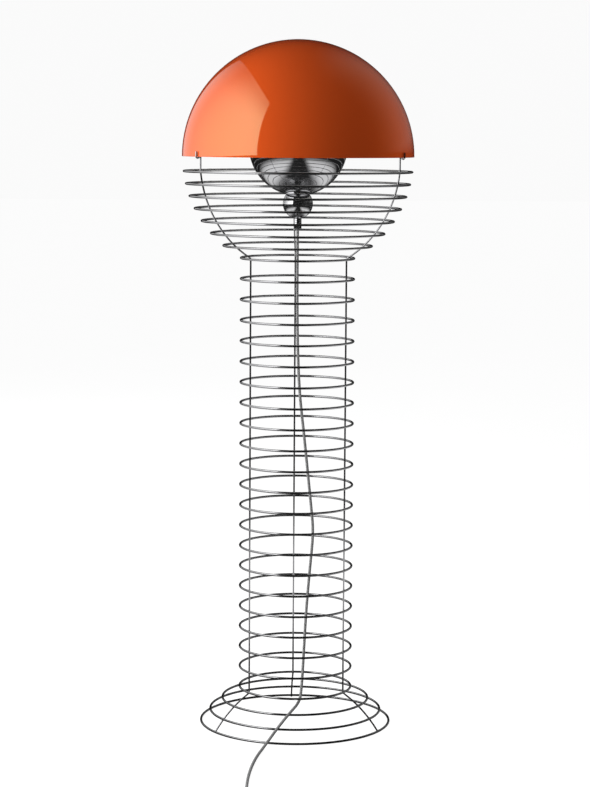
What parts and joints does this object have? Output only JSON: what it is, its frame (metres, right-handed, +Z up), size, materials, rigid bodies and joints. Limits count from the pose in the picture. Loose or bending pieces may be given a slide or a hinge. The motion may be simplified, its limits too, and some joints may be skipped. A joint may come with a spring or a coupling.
{
  "type": "mushroom floor lamp",
  "caption": "Floor lamp with a half-round glossy orange shade hung on hooks over an open cage of welded chrome wire rings, with a chromed reflector, a bulb and a cord with foot switch and plug.",
  "frame": {"origin": "on the floor, on the lamp's axis, under the middle of the foot", "axes": "+Z up along the lamp's axis; the cord leaves towards -Y; one upright stands at +Y"},
  "size_m": [0.3999, 0.8134, 1.1933],
  "materials": {
    "chrome_wire": "polished",
    "chrome_sheet": "mirror polished",
    "orange_enamel": "high gloss",
    "nickel": "satin",
    "brass": "satin",
    "holder_plastic": "matt",
    "bulb_glass": "frosted",
    "cord_grey": "semi matt",
    "fitting_plastic": "semi matt",
    "screw_steel": "satin"
  },
  "bodies": {
    "cage": {"bowl_ring_1": "chrome_wire", "bowl_ring_2": "chrome_wire", "bowl_ring_3": "chrome_wire", "bowl_ring_4": "chrome_wire", "bowl_ring_5": "chrome_wire", "bowl_ring_6": "chrome_wire", "bowl_ring_7": "chrome_wire", "column_ring_1": "chrome_wire", "column_ring_2": "chrome_wire", "column_ring_3": "chrome_wire", "column_ring_4": "chrome_wire", "column_ring_5": "chrome_wire", "column_ring_6": "chrome_wire", "column_ring_7": "chrome_wire", "column_ring_8": "chrome_wire", "column_ring_9": "chrome_wire", "column_ring_10": "chrome_wire", "column_ring_11": "chrome_wire", "column_ring_12": "chrome_wire", "column_ring_13": "chrome_wire", "column_ring_14": "chrome_wire", "column_ring_15": "chrome_wire", "column_ring_16": "chrome_wire", "column_ring_17": "chrome_wire", "column_ring_18": "chrome_wire", "column_ring_19": "chrome_wire", "column_ring_20": "chrome_wire", "column_ring_21": "chrome_wire", "column_ring_22": "chrome_wire", "foot_ring_1": "chrome_wire", "foot_ring_2": "chrome_wire", "foot_ring_3": "chrome_wire", "upright_left": "chrome_wire", "upright_right": "chrome_wire", "upright_back": "chrome_wire", "shade_hook_left": "chrome_wire", "shade_hook_right": "chrome_wire", "shade_hook_back": "chrome_wire", "reflector_ring": "chrome_wire", "reflector_bowl": "chrome_sheet", "holder_cover": "chrome_sheet", "cord_gland": "chrome_sheet", "nipple": "nickel", "nipple_nut": "nickel", "lampholder_base": "holder_plastic", "lampholder_body": "holder_plastic", "lampholder_sleeve": "brass", "lampholder_contact": "brass", "cord_run": "cord_grey", "cord_link": "cord_grey", "cord_coil": "cord_grey", "switch_base": "fitting_plastic", "switch_cover": "fitting_plastic", "switch_screws": "screw_steel", "plug_body": "fitting_plastic", "plug_pins": "nickel"},
    "shade": {"shade": "orange_enamel"},
    "bulb": {"bulb_cap": "nickel", "bulb_glass": "bulb_glass"},
    "switch_button": {"switch_button": "fitting_plastic"}
  },
  "joints": [
    {"name": "shade_lift", "type": "slide", "parent": "cage", "child": "shade", "axis": [0, 0, 1], "range_m": [0, 0.1]},
    {"name": "bulb_unscrew", "type": "hinge", "parent": "cage", "child": "bulb", "pos_m": [0, 0, 0.975], "axis": [0, 0, 1], "range_deg": [0, 1440]},
    {"name": "switch_press", "type": "slide", "parent": "cage", "child": "switch_button", "axis": [0, 0, -1], "range_m": [0, 0.0025], "stiffness_N_per_m": 400, "springref_m": -0.002}
  ]
}
